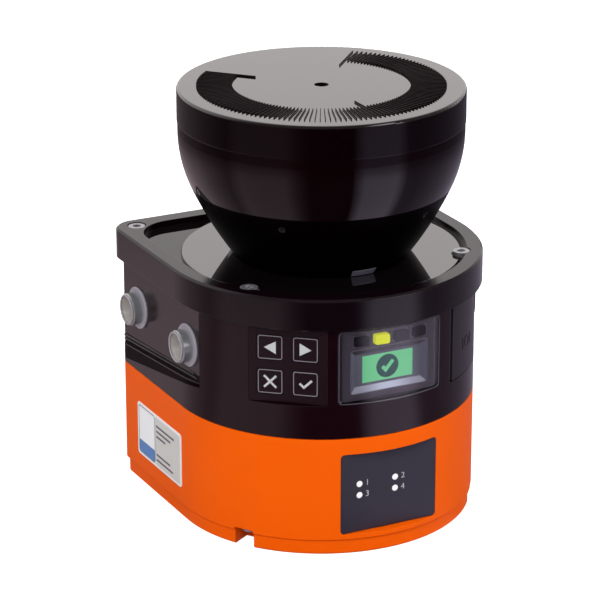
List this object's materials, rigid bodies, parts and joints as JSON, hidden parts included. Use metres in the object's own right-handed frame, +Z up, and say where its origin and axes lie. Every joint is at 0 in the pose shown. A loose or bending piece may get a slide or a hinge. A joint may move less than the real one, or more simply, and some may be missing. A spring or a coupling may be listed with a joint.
{
  "type": "safety laser scanner",
  "caption": "Safety laser scanner: dark funnel-shaped optics head on a D-shaped housing with display, keypad, port flap and network sockets, above an orange base",
  "frame": {"origin": "underside of the base, on the axis about which the mirror turns", "axes": "+Z up along the scan axis, -Y to the front with the display, +X to the side of the port flap, -X to the side of the network sockets"},
  "size_m": [0.1133, 0.1111, 0.1515],
  "materials": {
    "orange_paint": "satin",
    "black_paint": "satin",
    "rim_metal": "satin",
    "gloss_black": "gloss",
    "window_plastic": "gloss",
    "matte_black": "matte",
    "flap_rubber": "matte",
    "seal_rubber": "matte",
    "plate_grey": "satin",
    "steel": "satin",
    "aluminium": "satin",
    "gold": "gloss",
    "copper": "satin",
    "board_green": "satin",
    "clear_window": "gloss",
    "lens_glass": "gloss",
    "mirror_glass": "gloss",
    "screen_green": "gloss",
    "light_yellow": "gloss",
    "light_dark": "gloss",
    "light_pipe": "gloss",
    "label_silver": "satin"
  },
  "bodies": {
    "scanner": {"base_housing": "orange_paint", "base_board": "board_green", "status_plate": "plate_grey", "status_light_pipes": "light_pipe", "status_board": "board_green", "power_inlet_shell": "steel", "power_inlet_insert": "matte_black", "power_inlet_pins": "gold", "base_screws": "steel", "side_label": "label_silver", "base_seal": "seal_rubber", "link_header": "matte_black", "link_socket": "matte_black", "main_housing": "black_paint", "main_board": "board_green", "socket_shell_rear": "steel", "socket_shell_front": "steel", "socket_nuts": "steel", "socket_inserts": "matte_black", "socket_contacts": "gold", "keypad_plate": "gloss_black", "key_switches": "steel", "keypad_board": "board_green", "display_window": "clear_window", "display_bezel": "plate_grey", "display_screen": "screen_green", "indicator_lights": "light_dark", "indicator_light_lit": "light_yellow", "display_board": "board_green", "flap_hinge_pin": "steel", "service_port": "steel", "rating_plate": "label_silver", "plate_seal": "seal_rubber", "top_plate": "rim_metal", "plate_screws": "steel", "optics_tube": "aluminium", "receiver_lens": "lens_glass", "lens_ring": "matte_black", "laser_module": "gold", "detector_board": "board_green", "detector": "matte_black", "funnel": "black_paint", "funnel_screws": "steel", "neck_lights": "light_pipe", "window_ring": "aluminium", "scan_window": "window_plastic", "rear_column": "matte_black", "motor_mount": "aluminium", "motor_bearings": "steel", "motor_stator": "copper", "motor_board": "board_green", "scan_cap": "gloss_black"},
    "key_left": {"key_left": "gloss_black"},
    "key_right": {"key_right": "gloss_black"},
    "key_cancel": {"key_cancel": "gloss_black"},
    "key_confirm": {"key_confirm": "gloss_black"},
    "port_flap": {"port_flap": "flap_rubber"},
    "scan_rotor": {"rotor": "aluminium", "scan_mirror": "mirror_glass", "encoder_disc": "steel"}
  },
  "joints": [
    {"name": "mirror_spin", "type": "hinge", "parent": "scanner", "child": "scan_rotor", "pos_m": [0, 0, 0.125], "axis": [0, 0, 1], "continuous": true},
    {"name": "left_press", "type": "slide", "parent": "scanner", "child": "key_left", "axis": [0.6401, 0.7683, 0], "range_m": [0, 0.0004], "stiffness_N_per_m": 1500, "springref_m": -0.0001},
    {"name": "right_press", "type": "slide", "parent": "scanner", "child": "key_right", "axis": [0.6401, 0.7683, 0], "range_m": [0, 0.0004], "stiffness_N_per_m": 1500, "springref_m": -0.0001},
    {"name": "cancel_press", "type": "slide", "parent": "scanner", "child": "key_cancel", "axis": [0.6401, 0.7683, 0], "range_m": [0, 0.0004], "stiffness_N_per_m": 1500, "springref_m": -0.0001},
    {"name": "confirm_press", "type": "slide", "parent": "scanner", "child": "key_confirm", "axis": [0.6401, 0.7683, 0], "range_m": [0, 0.0004], "stiffness_N_per_m": 1500, "springref_m": -0.0001},
    {"name": "flap_swing", "type": "hinge", "parent": "scanner", "child": "port_flap", "pos_m": [0.02611, -0.04451, 0.0678], "axis": [0, 0, -1], "range_deg": [0, 95]}
  ]
}
